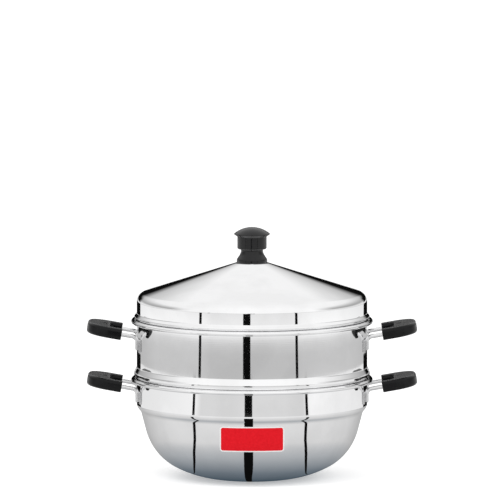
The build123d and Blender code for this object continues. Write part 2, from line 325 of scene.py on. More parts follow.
def cut_away(piece, cutter):
    """Takes the cutter's shape out of the piece, and removes the cutter."""
    take_up(piece)
    apply_modifier(piece, "BOOLEAN", operation="DIFFERENCE", object=cutter, solver="EXACT")
    bpy.data.objects.remove(cutter)


def thicken(piece, thickness, facing, backing):
    """Gives the sheet its thickness: one finish where its normals face and one behind."""
    piece.data.materials.append(facing)
    piece.data.materials.append(backing)
    apply_modifier(piece, "SOLIDIFY", thickness=thickness, offset=0, use_even_offset=True,
                   material_offset=1)


def dress(piece, body, slot, *materials, node=None, smooth=35):
    """Finishes a piece: shading, materials, the body it rides on and the solid it stands for."""
    take_up(piece)
    bpy.ops.object.transform_apply(location=True, rotation=True, scale=True)
    bpy.ops.object.shade_smooth_by_angle(angle=math.radians(smooth))
    apply_modifier(piece, "WEIGHTED_NORMAL", keep_sharp=True)
    for material in materials:
        piece.data.materials.append(material)
    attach(piece, body)
    if node:
        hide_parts(node)
    return piece


# ---------- node helpers ----------

def set_node(tree, kind, links, **settings):
    """A node with its settings, its inputs given as values or as outputs to link."""
    node = tree.nodes.new(kind)
    for key, value in settings.items():
        setattr(node, key, value)
    for key, value in links.items():
        if isinstance(value, bpy.types.NodeSocket):
            tree.links.new(value, node.inputs[key])
        else:
            node.inputs[key].default_value = value
    return node


def maths(tree, operation, first, second=0.0, third=0.5):
    links = {0: first, 1: second, 2: third}
    return set_node(tree, "ShaderNodeMath", links, operation=operation).outputs[0]


def ramp(tree, factor, stops, interpolation="LINEAR"):
    """A colour ramp through (place, colour) stops."""
    node = set_node(tree, "ShaderNodeValToRGB", {0: factor})
    node.color_ramp.interpolation = interpolation
    while len(node.color_ramp.elements) < len(stops):
        node.color_ramp.elements.new(0.5)
    for element, (place, colour) in zip(node.color_ramp.elements, stops):
        element.position = place
        element.color = (*colour, 1)
    return node.outputs[0]


def grey(level):
    return (level, level, level)


def grey_ramp(tree, factor, *stops):
    """A ramp of greys through (place, level) stops."""
    return ramp(tree, factor, [(place, grey(level)) for place, level in stops])


def blend_colour(tree, factor, first, second, blend_type="MIX"):
    """Blends two colours, each given as an output or as three numbers."""
    first, second = (
        (*colour, 1) if isinstance(colour, tuple) else colour for colour in (first, second))
    links = {0: factor, 6: first, 7: second}
    node = set_node(tree, "ShaderNodeMix", links, data_type="RGBA", blend_type=blend_type)
    return node.outputs[2]


def own_place(tree):
    """The shaded point's place on its piece."""
    return tree.nodes.new("ShaderNodeTexCoord").outputs["Object"]


def axis_reach(tree, place):
    """How far a place is from the steamer's axis."""
    flat = set_node(tree, "ShaderNodeVectorMath", {0: place, 1: (1, 1, 0)}, operation="MULTIPLY")
    reach = set_node(tree, "ShaderNodeVectorMath", {0: flat.outputs[0]}, operation="LENGTH")
    return reach.outputs["Value"]


def new_material(name):
    material = bpy.data.materials.new(name)
    material.use_nodes = True
    shader = next(n for n in material.node_tree.nodes if n.type == "BSDF_PRINCIPLED")
    return material, material.node_tree, shader


# ---------- finishes ----------

def spun_polish_group():
    """Lathe-turned polish: faint rings about the axis and cloudy wiping marks."""
    group = bpy.data.node_groups.new("spun polish", "ShaderNodeTree")
    for name, in_out, kind in (
        ("Tint", "INPUT", "Color"),
        ("Roughness", "INPUT", "Float"),
        ("Cloudiness", "INPUT", "Float"),
        ("Ring Depth", "INPUT", "Float"),
        ("Wiping Marks", "INPUT", "Float"),
        ("Base Color", "OUTPUT", "Color"),
        ("Roughness", "OUTPUT", "Float"),
        ("Normal", "OUTPUT", "Vector"),
    ):
        group.interface.new_socket(name, in_out=in_out, socket_type=f"NodeSocket{kind}")
    given = group.nodes.new("NodeGroupInput")
    result = group.nodes.new("NodeGroupOutput")
    place = own_place(group)
    split = set_node(group, "ShaderNodeSeparateXYZ", {0: place})
    ring_place = set_node(group, "ShaderNodeCombineXYZ",
                          {0: axis_reach(group, place), 1: split.outputs[2]})
    rings = set_node(group, "ShaderNodeTexNoise",
                     {0: ring_place.outputs[0], "Scale": 900.0, "Detail": 2.0})
    clouds = set_node(group, "ShaderNodeTexNoise", {0: place, "Scale": 24.0, "Detail": 4.0})
    haze = maths(group, "MULTIPLY", clouds.outputs["Fac"], given.outputs["Cloudiness"])
    rough = maths(group, "ADD", given.outputs["Roughness"], haze)
    group.links.new(rough, result.inputs["Roughness"])
    marks = grey_ramp(group, clouds.outputs["Fac"], (0.40, 0.45), (0.58, 1.0))
    shade = blend_colour(group, given.outputs["Wiping Marks"], grey(1.0), marks)
    colour = blend_colour(group, 1.0, given.outputs["Tint"], shade, "MULTIPLY")
    group.links.new(colour, result.inputs["Base Color"])
    bump = set_node(group, "ShaderNodeBump", {"Distance": 0.0002, "Height": rings.outputs["Fac"]})
    group.links.new(given.outputs["Ring Depth"], bump.inputs["Strength"])
    group.links.new(bump.outputs["Normal"], result.inputs["Normal"])
    return group


def polished_steel(name, tint, roughness, cloudiness, ring_depth, marks=0.1):
    material, tree, shader = new_material(name)
    finish = tree.nodes.new("ShaderNodeGroup")
    finish.node_tree = polish
    for key, value in (
        ("Tint", (*tint, 1)),
        ("Roughness", roughness),
        ("Cloudiness", cloudiness),
        ("Ring Depth", ring_depth),
        ("Wiping Marks", marks),
    ):
        finish.inputs[key].default_value = value
    for key in ("Base Color", "Roughness", "Normal"):
        tree.links.new(finish.outputs[key], shader.inputs[key])
    shader.inputs["Metallic"].default_value = 1
    return material


def paint_web_shade(material):
    """Painted shade: makes the web and cups of a plate a darker mirror than its edge and its hub.
    """
    tree = material.node_tree
    share = maths(tree, "DIVIDE", axis_reach(tree, own_place(tree)), wall_middle)
    # Painted shade: dark over the web and cups, lighter at the hub and at the edge.
    tint = grey_ramp(tree, share, (0.12, 0.80), (0.16, 0.42), (0.86, 0.42), (0.92, 0.90))
    finish = next(n for n in tree.nodes if n.type == "GROUP")
    tree.links.new(tint, finish.inputs["Tint"])


def moulded_bakelite(name, gloss, roughness, sheen):
    """Black moulding compound: glossy, with a fine orange-peel skin and duller flow marks."""
    material, tree, shader = new_material(name)
    place = own_place(tree)
    flow = set_node(tree, "ShaderNodeTexNoise", {0: place, "Scale": 60.0, "Detail": 3.0})
    peel = set_node(tree, "ShaderNodeTexNoise", {0: place, "Scale": 900.0, "Detail": 1.0})
    colour = ramp(tree, flow.outputs["Fac"],
                  [(0.3, (0.003, 0.003, 0.0035)), (0.7, (0.006, 0.006, 0.0065))])
    tree.links.new(colour, shader.inputs["Base Color"])
    dulled = maths(tree, "MULTIPLY_ADD", flow.outputs["Fac"], 0.14, roughness)
    tree.links.new(dulled, shader.inputs["Roughness"])
    bump = set_node(tree, "ShaderNodeBump",
                    {"Strength": 0.05, "Distance": 0.0002, "Height": peel.outputs["Fac"]})
    tree.links.new(bump.outputs["Normal"], shader.inputs["Normal"])
    shader.inputs["Specular IOR Level"].default_value = gloss
    shader.inputs["Sheen Weight"].default_value = sheen
    shader.inputs["Sheen Roughness"].default_value = 0.3
    return material


def printed_film(name, dark, light):
    """Printed label film: the ink's grain varies the colour a little, under a satin skin."""
    material, tree, shader = new_material(name)
    place = own_place(tree)
    grain = set_node(tree, "ShaderNodeTexNoise", {0: place, "Scale": 400.0, "Detail": 3.0})
    colour = ramp(tree, grain.outputs["Fac"], [(0.3, dark), (0.7, light)])
    tree.links.new(colour, shader.inputs["Base Color"])
    rough = maths(tree, "MULTIPLY_ADD", grain.outputs["Fac"], 0.1, 0.42)
    tree.links.new(rough, shader.inputs["Roughness"])
    shader.inputs["Specular IOR Level"].default_value = 0.12
    return material


# Steel: tint, roughness, cloudiness, ring depth, wiping marks. Bakelite: gloss, roughness,
# sheen. Printed film: its darkest and its lightest colour.
polish = spun_polish_group()
shell_steel = polished_steel("polished shell steel", (0.94, 0.94, 0.945), 0.02, 0.03, 0.008)
inner_steel = polished_steel("inner wall steel", (0.78, 0.78, 0.79), 0.12, 0.08, 0.01)
satin_steel = polished_steel("satin steel", (0.80, 0.80, 0.81), 0.24, 0.16, 0.1)
pan_satin = polished_steel("cloudy pan steel", (0.99, 0.99, 0.995), 0.38, 0.26, 0.1, 0.75)
plate_steel = polished_steel("polished plate steel", (0.68, 0.68, 0.685), 0.03, 0.03, 0.004)
# The plate steel's web and cups get painted shade.
paint_web_shade(plate_steel)
rod_steel = polished_steel("bright rod steel", (0.78, 0.78, 0.785), 0.08, 0.08, 0.0)
bakelite = moulded_bakelite("black bakelite", 0.18, 0.10, 0.25)
knob_bakelite = moulded_bakelite("polished knob bakelite", 0.38, 0.04, 0.12)
label_red = printed_film("red label print", (0.72, 0.004, 0.012), (0.80, 0.008, 0.018))
label_white = printed_film("white label border", grey(0.84), grey(0.90))


# ---------- spun shells ----------

def curl_rim(rim_z):
    """Takes the wall up to the rim and rolls it outwards and down into a flattened roll."""
    line_to(wall_middle, rim_z)
    arc_about(wall_middle + curl_radius, rim_z, -curl_sweep, curl_steps)
    select_where(lambda place: place.z > rim_z - curl_radius - sheet)
    rim_top = rim_z + curl_radius
    bpy.ops.transform.resize(value=(1, 1, curl_flatness), center_override=(0, 0, rim_top))


def polish_rim(shell, rim_z):
    """Gives the rim's roll the outside's finish, because the sheet rolls its inside outwards."""
    bpy.ops.object.mode_set(mode="EDIT")
    bpy.ops.mesh.select_mode(type="FACE")
    outside = wall_middle + sheet
    shape = bmesh.from_edit_mesh(shell.data)
    for face in shape.faces:
        middle = face.calc_center_median()
        high_up = middle.z > rim_z - 2 * rim_radius
        face.select = middle.z > rim_z or (high_up and math.hypot(middle.x, middle.y) > outside)
    bmesh.update_edit_mesh(shell.data)
    shell.active_material_index = 1
    bpy.ops.object.material_slot_assign()
    bpy.ops.mesh.select_mode(type="VERT")
    bpy.ops.object.mode_set(mode="OBJECT")


def rise_past_bead(bead_z, face, shoulder):
    """Draws the bead from the skirt up to the wall, and gives its corners for softening."""
    low = bead_z - bead_face / 2 + sheet / 2 * math.tan(math.radians(bead_slope / 2))
    corners = [
        (skirt_middle, low - (bead_middle - skirt_middle)),
        (bead_middle, low),
        (bead_middle, low + face),
        (wall_middle, low + face + shoulder),
    ]
    lines_through(corners)
    return corners


def spin_pan():
    lower_radius = lower_bowl_share * mouth_radius
    upper_radius = upper_bowl_share * mouth_radius
    edge = math.radians(base_edge_angle)
    lower = math.radians(lower_bowl_angle)
    upper = math.radians(upper_bowl_angle)
    lower_x = base_share * mouth_radius - lower_radius * math.sin(edge)
    lower_z = sheet + lower_radius * math.cos(edge)
    upper_x = lower_x + (lower_radius - upper_radius) * math.sin(lower)
    upper_z = lower_z - (lower_radius - upper_radius) * math.cos(lower)
    middle = lower_radius + sheet / 2
    begin_outline("kadai_spun_bowl", 0, sheet / 2)
    line_to(lower_x + middle * math.sin(edge), lower_z - middle * math.cos(edge))
    arc_about(lower_x, lower_z, lower_bowl_angle - base_edge_angle, steps=8)
    arc_about(upper_x, upper_z, upper_bowl_angle - lower_bowl_angle, steps=20)
    end = pen()
    step_top = pan_rim_z - pan_wall_height
    step_foot = step_top - pan_step_rise
    step = [(end.x + (step_foot - end.z) / math.tan(upper), step_foot), (wall_middle, step_top)]
    lines_through(step)
    curl_rim(pan_rim_z)
    soften_corners(step, (step_bend, step_bend))
    pan = turn_outline()
    thicken(pan, sheet, pan_satin, shell_steel)
    polish_rim(pan, pan_rim_z)
    return dress(pan, "kadai", "polished_steel", node="kadai_bowl")


def spin_tier():
    inner_skirt = skirt_middle - sheet / 2
    corner_centre = inner_skirt - (tier_corner_radius - sheet)
    begin_outline("steamer_spun_wall", inner_skirt - flange_width, tier_low.z + sheet / 2)
    line_to(corner_centre, tier_low.z + sheet / 2)
    arc_about(corner_centre, tier_low.z + tier_corner_radius, 90, steps=8)
    corners = rise_past_bead(tier_bead_z, bead_face, bead_shoulder)
    curl_rim(tier_rim_z)
    soften_corners(corners, bead_bends)
    tier = turn_outline()
    thicken(tier, sheet, inner_steel, shell_steel)
    polish_rim(tier, tier_rim_z)
    return dress(tier, "steamer", "polished_steel", node="steamer_wall")


def spin_lid():
    begin_outline("lid_spun_cone", skirt_middle, lid_low.z)
    corners = rise_past_bead(lid_bead_z, lid_bead_face, lid_bead_shoulder)
    shoulder_z = lid_bead_z + lid_shoulder_height
    line_to(wall_middle, shoulder_z)
    arc_about(wall_middle + sheet / 2 - lid_shoulder_radius, shoulder_z, 90 - lid_cone_angle, 10)
    top_z = lid_high.z - sheet / 2
    lines_through([(lid_top_radius, top_z), (screw_hole_radius, top_z)])
    soften_corners(corners, lid_bead_bends)
    soften((lid_top_radius, 0, top_z), lid_crease_bend)
    lid = turn_outline()
    thicken(lid, sheet, shell_steel, inner_steel)
    return dress(lid, "lid", "polished_steel", node="lid_shell")


def spin_knob():
    """The knob: a flared foot, a waisted neck, a round body and a domed cap with a thin edge."""
    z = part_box("lid_knob")[0].z
    body_z = z + knob_neck_height
    edge_z = z + knob_cap_height + knob_cap_lift
    rise = z + knob_height - edge_z
    dome_radius = (knob_cap_radius**2 + rise**2) / (2 * rise)
    dome_angle = math.degrees(math.acos((dome_radius - rise) / dome_radius))
    base = (knob_base_radius, z)
    band = (knob_base_radius, z + knob_base_band)
    waist = (knob_neck_radius, z + knob_waist_height)
    body = (knob_body_radius, body_z)
    cap = (knob_body_radius, z + knob_cap_height)
    begin_outline("knob_turned", 0, z)
    lines_through([base, band, waist, (knob_neck_radius, body_z), body, cap])
    line_to(knob_cap_radius, edge_z)
    arc_about(0, z + knob_height - dome_radius, dome_angle, steps=12)
    soften_corners([base, band, waist, body, cap], knob_bends)
    soften((knob_cap_radius, 0, edge_z), knob_edge_bend, steps=4)
    knob = turn_outline(small_turns)
    knob.visible_glossy = False
    return dress(knob, "lid", "bakelite", knob_bakelite, node="lid_knob")


# ---------- rack ----------

def spin_foot():
    low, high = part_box("rack_foot")
    half = foot_sheet / 2
    lip_z = low.z + foot_lip_height - half
    drum_z = low.z + foot_drum_height - half
    lip = foot_radius + foot_lip_width - half
    neck = neck_radius - half
    corners = [
        (lip, lip_z),
        (foot_radius - half, lip_z),
        (foot_radius - foot_taper - half, drum_z),
        (neck, drum_z),
        (neck, high.z - half),
    ]
    begin_outline("rack_spun_foot", lip, low.z)
    lines_through(corners)
    line_to(spindle_hole_radius, high.z - half)
    soften_corners(corners, foot_bends)
    foot = turn_outline(small_turns)
    thicken(foot, foot_sheet, satin_steel, satin_steel)
    return dress(foot, "rack", "polished_steel", node="rack_foot")


def spin_spacer():
    low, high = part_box("plate_spacer")
    half = foot_sheet / 2
    corners = [
        (spacer_base_radius - half, low.z + half),
        (spacer_base_radius - half, low.z + spacer_foot_height),
        (spacer_waist_radius - half, low.z + spacer_waist_height),
        (high.x - half, high.z - spacer_lip_height),
    ]
    begin_outline("spacer_spun_sleeve", spindle_hole_radius, low.z + half)
    lines_through(corners)
    line_to(high.x - half, high.z)
    soften_corners(corners, spacer_bends)
    sleeve = turn_outline(small_turns)
    thicken(sleeve, foot_sheet, plate_steel, plate_steel)
    return dress(sleeve, "rack", "polished_steel", node="plate_spacer")


def spin_lifting_nut():
    low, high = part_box("lifting_nut")
    flange_z = low.z + nut_flange_height
    bore_z = low.z + nut_bore_height
    flange = [(high.x, low.z), (high.x, flange_z)]
    barrel = [(nut_barrel_radius, flange_z), (nut_tip_radius, high.z - nut_point_height)]
    begin_outline("lifting_turned_nut", 0, bore_z)
    lines_through([(spindle_hole_radius, bore_z), (spindle_hole_radius, low.z)])
    lines_through([*flange, *barrel, (0, high.z)])
    soften_corners(flange, nut_flange_bends, steps=3)
    soften_corners(barrel, nut_barrel_bends)
    nut = turn_outline(nut_turns)
    return dress(nut, "nut", "polished_steel", rod_steel, node="lifting_nut")


def add_hole_ring(radius, circle, count, start_angle, z):
    """Adds the edges of round holes, spaced evenly on a circle about the axis."""
    for number in range(count):
        angle = math.radians(start_angle + 360 / count * number)
        place = (circle * math.cos(angle), circle * math.sin(angle), z)
        bpy.ops.mesh.primitive_circle_add(vertices=web_hole_turns, radius=radius, location=place)


def roll_plate_edge(name, plate_radius, web_z):
    """Turns the plate's raised, rolled edge, and gives how far out its slope starts."""
    edge = plate_radius - plate_edge_radius
    slope_x = edge - plate_edge_slope_width
    curl = plate_edge_radius - sheet / 2
    begin_outline(name, slope_x - plate_edge_lead, web_z)
    line_to(slope_x, web_z)
    line_to(edge - curl, web_z + plate_edge_rise)
    arc_about(edge, web_z + plate_edge_rise, -plate_edge_sweep, steps=10)
    soften((slope_x, 0, web_z), plate_slope_bend, steps=4)
    bpy.ops.mesh.select_all(action="SELECT")
    spin_upright(turns)
    return slope_x


def press_cups(cup_circle, cup_radius, web_z, slope_x):
    """Draws one cup out from its bottom, inside the plate's edge, and turns it into the others."""
    ball = (cup_radius**2 + cup_depth**2) / (2 * cup_depth)
    span = math.degrees(math.asin(cup_radius / ball))
    bpy.ops.mesh.select_all(action="DESELECT")
    bpy.ops.mesh.primitive_plane_add(size=sheet)
    bpy.ops.mesh.merge(type="CENTER")
    bpy.ops.transform.translate(value=(cup_circle, 0, web_z - cup_depth))
    arc_about(cup_circle, web_z - cup_depth + ball, span, steps=14)
    line_to(cup_circle + cup_radius + cup_lip_width, web_z)
    soften((cup_circle + cup_radius, 0, web_z), cup_lip_bend, steps=5)
    inside = slope_x - 2 * plate_edge_lead
    select_where(lambda place: abs(place.y) < touching and 0 < place.x < inside)
    spin_upright(cup_turns, x=cup_circle)
    lip_edge = cup_radius + cup_lip_width + touching
    select_where(lambda place: math.hypot(place.x - cup_circle, place.y) < lip_edge)
    bpy.ops.mesh.remove_doubles(threshold=merging)
    spin_upright(cups - 1, math.tau * (cups - 1) / cups, dupli=True)
    bpy.ops.mesh.select_all(action="SELECT")
    bpy.ops.transform.rotate(value=math.radians(-90), orient_axis="Z", center_override=(0, 0, 0))
    bpy.ops.mesh.remove_doubles(threshold=merging)


def fill_web(plate_radius, web_z):
    """Adds the web's holes, and fills the flat sheet in between all the edges."""
    web_angle = 90 + 180 / cups
    inner_circle = inner_web_hole_share * plate_radius
    outer_circle = outer_web_hole_share * plate_radius
    add_hole_ring(web_hole_radius, inner_circle, cups, web_angle, web_z)
    for side in (-outer_web_hole_angle, outer_web_hole_angle):
        add_hole_ring(web_hole_radius, outer_circle, cups, web_angle + side, web_z)
    add_hole_ring(hub_hole_radius, hub_hole_circle, cups, web_angle, web_z)
    bpy.ops.mesh.primitive_circle_add(vertices=spindle_hole_turns, radius=spindle_hole_radius,
                                      location=(0, 0, web_z))
    bpy.ops.mesh.select_mode(type="EDGE")
    bpy.ops.mesh.select_all(action="DESELECT")
    shape = bmesh.from_edit_mesh(bpy.context.edit_object.data)
    for line in shape.edges:
        flat = all(abs(point.co.z - web_z) < flush for point in line.verts)
        line.select = flat and len(line.link_faces) < 2
    bmesh.update_edit_mesh(bpy.context.edit_object.data)
    bpy.ops.mesh.fill(use_beauty=True)
    bpy.ops.mesh.select_mode(type="VERT")


def pierce_cups(plate, cup_circle, low_z):
    """Punches the small steam holes in the bottoms of the cups."""
    bpy.ops.object.select_all(action="DESELECT")
    size = {"vertices": hole_turns, "radius": cup_hole_radius, "depth": punch_length}
    bpy.ops.mesh.primitive_cylinder_add(**size, location=(0, 0, 0))
    punch = bpy.context.object
    bpy.ops.object.mode_set(mode="EDIT")
    bpy.ops.mesh.delete(type="VERT")
    for cup in range(cups):
        about = math.radians(90 + 360 / cups * cup)
        for hole in range(cup_holes):
            turn = math.radians(360 / cup_holes * hole)
            bpy.ops.mesh.primitive_cylinder_add(**size, location=(
                cup_circle * math.cos(about) + cup_hole_circle * math.cos(turn),
                cup_circle * math.sin(about) + cup_hole_circle * math.sin(turn),
                low_z + punch_rise,
            ))
    bpy.ops.object.mode_set(mode="OBJECT")
    cut_away(plate, punch)


def press_plate(name, body, node):
    """An idli plate: rolled edge, five lipped cups, and a flat web between them with its holes."""
    low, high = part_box(node)
    web_z = low.z + cup_depth + sheet / 2
    cup_circle = cup_circle_share * high.x
    slope_x = roll_plate_edge(name, high.x, web_z)
    press_cups(cup_circle, cup_share * high.x, web_z, slope_x)
    fill_web(high.x, web_z)
    plate = close_piece()
    thicken(plate, sheet, plate_steel, satin_steel)
    pierce_cups(plate, cup_circle, low.z)
    return dress(plate, body, "polished_steel", node=node)


def punch_floor():
    """The tier's perforated disc, with round holes in rings."""
    low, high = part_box("steamer_floor")
    z = (low.z + high.z) / 2
    bpy.ops.object.select_all(action="DESELECT")
    bpy.ops.mesh.primitive_circle_add(vertices=turns, radius=high.x, enter_editmode=True)
    bpy.ops.transform.translate(value=(0, 0, z))
    bpy.ops.mesh.primitive_circle_add(vertices=hole_turns, radius=floor_hole_radius,
                                      location=(0, 0, z))
    for ring in range(1, floor_rings):
        add_hole_ring(floor_hole_radius, ring * floor_ring_pitch, ring * floor_ring_holes, 0, z)
    bpy.ops.mesh.select_all(action="SELECT")
    bpy.ops.mesh.fill(use_beauty=True)
    disc = close_piece()
    disc.name = disc.data.name = "steamer_punched_floor"
    thicken(disc, sheet, satin_steel, satin_steel)
    return dress(disc, "steamer", "polished_steel", node="steamer_floor")


# ---------- handles ----------

def put_on_side(side):
    """Mirrors the piece in hand if it belongs on the left, and faces it outwards."""
    if side < 0:
        bpy.ops.transform.mirror(constraint_axis=(True, False, False), center_override=(0, 0, 0))
    bpy.ops.mesh.normals_make_consistent(inside=False)


def bend_strap(name, half_spread, root_z):
    """The strap that follows the wall under the rods' feet."""
    strap_middle = mouth_radius + sheet + weld_clearance + strap_thickness / 2
    half_angle = math.asin((half_spread + rod_radius + strap_margin) / strap_middle)
    begin_outline(name, strap_middle * math.cos(half_angle), root_z - rod_radius - strap_height,
                  strap_middle * math.sin(half_angle))
    spin_upright(steps=24, angle=2 * half_angle)
    bpy.ops.mesh.select_all(action="SELECT")
    bpy.ops.mesh.extrude_region_move(TRANSFORM_OT_translate={"value": (0, 0, strap_height)})
    strap = close_piece()
    thicken(strap, strap_thickness, rod_steel, rod_steel)
    apply_modifier(strap, "BEVEL", width=strap_edge_bevel, segments=2, limit_method="ANGLE")
    return strap, strap_middle + strap_thickness / 2


def bend_rod(rod_x, across, root_z):
    """A round rod up the strap, round a bend, and out into the grip."""
    wall = mouth_radius + sheet
    tilt = math.radians(handle_tilt)
    tip_reach = grip_gap + rod_insertion
    tip_x = wall + tip_reach * math.cos(tilt)
    tip_z = root_z + tip_reach * math.sin(tilt)
    corner_z = tip_z - (tip_x - rod_x) * math.tan(tilt)
    bend_z = corner_z - rod_bend_radius * (1 / math.cos(tilt) - math.tan(tilt))
    bend_x = rod_x + rod_bend_radius
    rise = bend_z - root_z + strap_height
    bpy.ops.mesh.select_all(action="DESELECT")
    bpy.ops.mesh.primitive_circle_add(vertices=rod_turns, radius=rod_radius, fill_type="NGON",
                                      location=(rod_x, across, root_z - strap_height))
    bpy.ops.mesh.extrude_region_move(TRANSFORM_OT_translate={"value": (0, 0, rise)})
    bpy.ops.mesh.spin(steps=10, angle=-math.radians(90 - handle_tilt),
                      center=(bend_x, across, bend_z), axis=(0, 1, 0))
    bend_end = Vector((bend_x - rod_bend_radius * math.sin(tilt), across,
                       bend_z + rod_bend_radius * math.cos(tilt)))
    run = Vector((tip_x, across, tip_z)) - bend_end
    bpy.ops.mesh.extrude_region_move(TRANSFORM_OT_translate={"value": run})


def bend_bracket(name, body, node, side, root_z):
    """A bent strap against the wall and two rods that rise from it and lean out into the grip."""
    half_spread = (grip_width + notch_width) / 4
    bracket, strap_outside = bend_strap(name, half_spread, root_z)
    rod_x = math.sqrt(strap_outside**2 - half_spread**2) + rod_radius / 2
    bpy.ops.object.mode_set(mode="EDIT")
    for across in (-half_spread, half_spread):
        bend_rod(rod_x, across, root_z)
    close_mesh()
    put_on_side(side)
    bpy.ops.object.mode_set(mode="OBJECT")
    return dress(bracket, body, "polished_steel", node=node)


def draw_grip(name, notch, level):
    """The grip's U, lying about its own middle height, between its two rounded edges."""
    half = grip_width / 2
    end = grip_gap + grip_length
    start = grip_gap - 2 * grip_edge_bend
    outline = [
        (end, -half), (end, half), (start, half), (start, notch_width / 2),
        (notch, notch_width / 2), (notch, -notch_width / 2), (start, -notch_width / 2),
    ]
    begin_outline(name, start, level, -half)
    for x, y in outline:
        line_to(x, level, y)
    bpy.ops.mesh.select_all(action="SELECT")
    bpy.ops.mesh.edge_face_add()
    for y in (-half, half):
        soften((end, y, level), grip_corner_radius, steps=14)
    for y in (-notch_width / 2, notch_width / 2):
        soften((notch, y, level), notch_bend)
    bpy.ops.mesh.select_all(action="SELECT")
    bpy.ops.mesh.extrude_region_move(TRANSFORM_OT_translate={"value": (0, 0, -2 * level)})
    close_mesh()


def round_grip_edges(level):
    """Draws the top and the bottom of the grip in by steps along a quarter round."""
    for upside in (-1, 1):
        shrink, climb = 0, 0
        for step in range(1, grip_bend_steps + 1):
            angle = math.pi / 2 * step / grip_bend_steps
            face_z = upside * (climb - level)
            bpy.ops.mesh.select_all(action="DESELECT")
            bpy.ops.mesh.select_mode(type="FACE")
            shape = bmesh.from_edit_mesh(bpy.context.edit_object.data)
            for face in shape.faces:
                face.select = all(abs(point.co.z - face_z) < flush for point in face.verts)
            bmesh.update_edit_mesh(bpy.context.edit_object.data)
            inwards = grip_edge_bend * (1 - math.cos(angle)) - shrink
            upwards = grip_edge_bend * math.sin(angle) - climb
            bpy.ops.mesh.inset(thickness=inwards, depth=0)
            bpy.ops.transform.translate(value=(0, 0, upside * upwards))
            shrink += inwards
            climb += upwards
    bpy.ops.mesh.select_mode(type="VERT")


def press_dimple(grip, notch):
    """The small dimple on top, just outside the notch."""
    bpy.ops.object.select_all(action="DESELECT")
    bpy.ops.mesh.primitive_uv_sphere_add(segments=24, ring_count=12, radius=dimple_radius,
                                         location=(notch + dimple_inset, 0, grip_thickness / 2))
    dimple = bpy.context.object
    bpy.ops.transform.resize(value=(1, 1, dimple_depth / dimple_radius))
    cut_away(grip, dimple)


def mould_grip(name, body, node, side, root_z):
    """A U-shaped grip with rounded edges, a notch for the fingers and a dimple on top."""
    notch = grip_gap + notch_depth
    level = grip_edge_bend - grip_thickness / 2
    draw_grip(name, notch, level)
    round_grip_edges(level)
    bpy.ops.mesh.select_all(action="SELECT")
    bpy.ops.mesh.bisect(plane_co=(grip_gap, 0, 0), plane_no=(-1, 0, 0), use_fill=True,
                        clear_outer=True)
    select_where(lambda place: place.x < grip_gap + touching)
    bpy.ops.mesh.bevel(offset=grip_end_bevel, segments=2, affect="EDGES")
    press_dimple(close_piece(), notch)
    bpy.ops.object.mode_set(mode="EDIT")
    bpy.ops.mesh.select_all(action="SELECT")
    bpy.ops.transform.rotate(value=math.radians(handle_tilt), orient_axis="Y",
                             center_override=(0, 0, 0))
    bpy.ops.transform.translate(value=(mouth_radius + sheet, 0, root_z))
    put_on_side(side)
    bpy.ops.object.mode_set(mode="OBJECT")
    return dress(bpy.context.object, body, "bakelite", bakelite, node=node, smooth=50)


def stick_label(pan):
    """A rounded red label with a white border, laid on the front of the pan's bowl."""
    front = pan_low.y * 1.2  # clear of the bowl, onto which the label is then projected
    low_z = label_top - label_height
    left, right = -label_width / 2, label_width / 2
    begin_outline("pan_label", left, low_z, front)
    for x, z in ((right, low_z), (right, label_top), (left, label_top)):
        line_to(x, z, front)
    bpy.ops.mesh.select_all(action="SELECT")
    bpy.ops.mesh.edge_face_add()
    for x in (left, right):
        for z in (low_z, label_top):
            soften((x, front, z), label_corner)
    bpy.ops.mesh.select_all(action="SELECT")
    bpy.ops.mesh.inset(thickness=label_border, depth=0)
    label = bpy.context.object
    label.data.materials.append(label_white)
    label.data.materials.append(label_red)
    label.active_material_index = 1
    bpy.ops.object.material_slot_assign()
    for cut in range(1, label_columns):
        x = label_width * (cut / label_columns - 0.5)
        bpy.ops.mesh.select_all(action="SELECT")
        bpy.ops.mesh.bisect(plane_co=(x, 0, 0), plane_no=(1, 0, 0))
    for cut in range(1, label_rows):
        z = low_z + label_height * cut / label_rows
        bpy.ops.mesh.select_all(action="SELECT")
        bpy.ops.mesh.bisect(plane_co=(0, 0, z), plane_no=(0, 0, 1))
    close_piece()
    apply_modifier(label, "SHRINKWRAP", target=pan, wrap_method="PROJECT", use_project_y=True,
                   use_project_x=False, use_project_z=False, use_positive_direction=True,
                   offset=label_thickness)
    apply_modifier(label, "SOLIDIFY", thickness=label_thickness, offset=0)
    return dress(label, "kadai", "polished_steel")


pan = spin_pan()
spin_tier()
punch_floor()
spin_lid()
spin_knob()
spin_foot()
spin_spacer()
spin_lifting_nut()
press_plate("lower_pressed_plate", "lower_plate", "lower_idli_plate")
press_plate("upper_pressed_plate", "upper_plate", "upper_idli_plate")
for body, root_z in (
    ("kadai", pan_rim_z - pan_handle_drop),
    ("steamer", tier_rim_z - tier_handle_drop),
):
    for hand, side in (("left", -1), ("right", 1)):
        bend_bracket(f"{body}_bent_bracket_{hand}", body, f"{body}_bracket_{hand}", side, root_z)
        mould_grip(f"{body}_moulded_grip_{hand}", body, f"{body}_grip_{hand}", side, root_z)
stick_label(pan)

for name in ("foot_nut", "spindle_rod", "knob_washer", "knob_screw"):
    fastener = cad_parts[name]
    fastener.data.materials.clear()
    fastener.data.materials.append(rod_steel)


# ---------- studio ----------

right_angle = 90
half_turn = 180
floor_size = 60
floor_paint = 0.9
floor_glow = 0.4
room_light = 0.78
slot_black = 0.004

# What the metal sees painted on the floor as painted reflection, by reach in metres and by bearing
# from the front in degrees
centre_slot_half = 3.5
side_slot_half = 1.3
bowl_reach = 0.235
shade_reach = 0.3
near_reach = 0.6
slots_from = 0.75
pan_reach = 1.15
skirt_reach = 1.4
skirt_half = 0.16
tier_reach = 2.8
room_reach = 5
gap_from = 151.5
gap_widening = 9.0
gap_to = 172.0


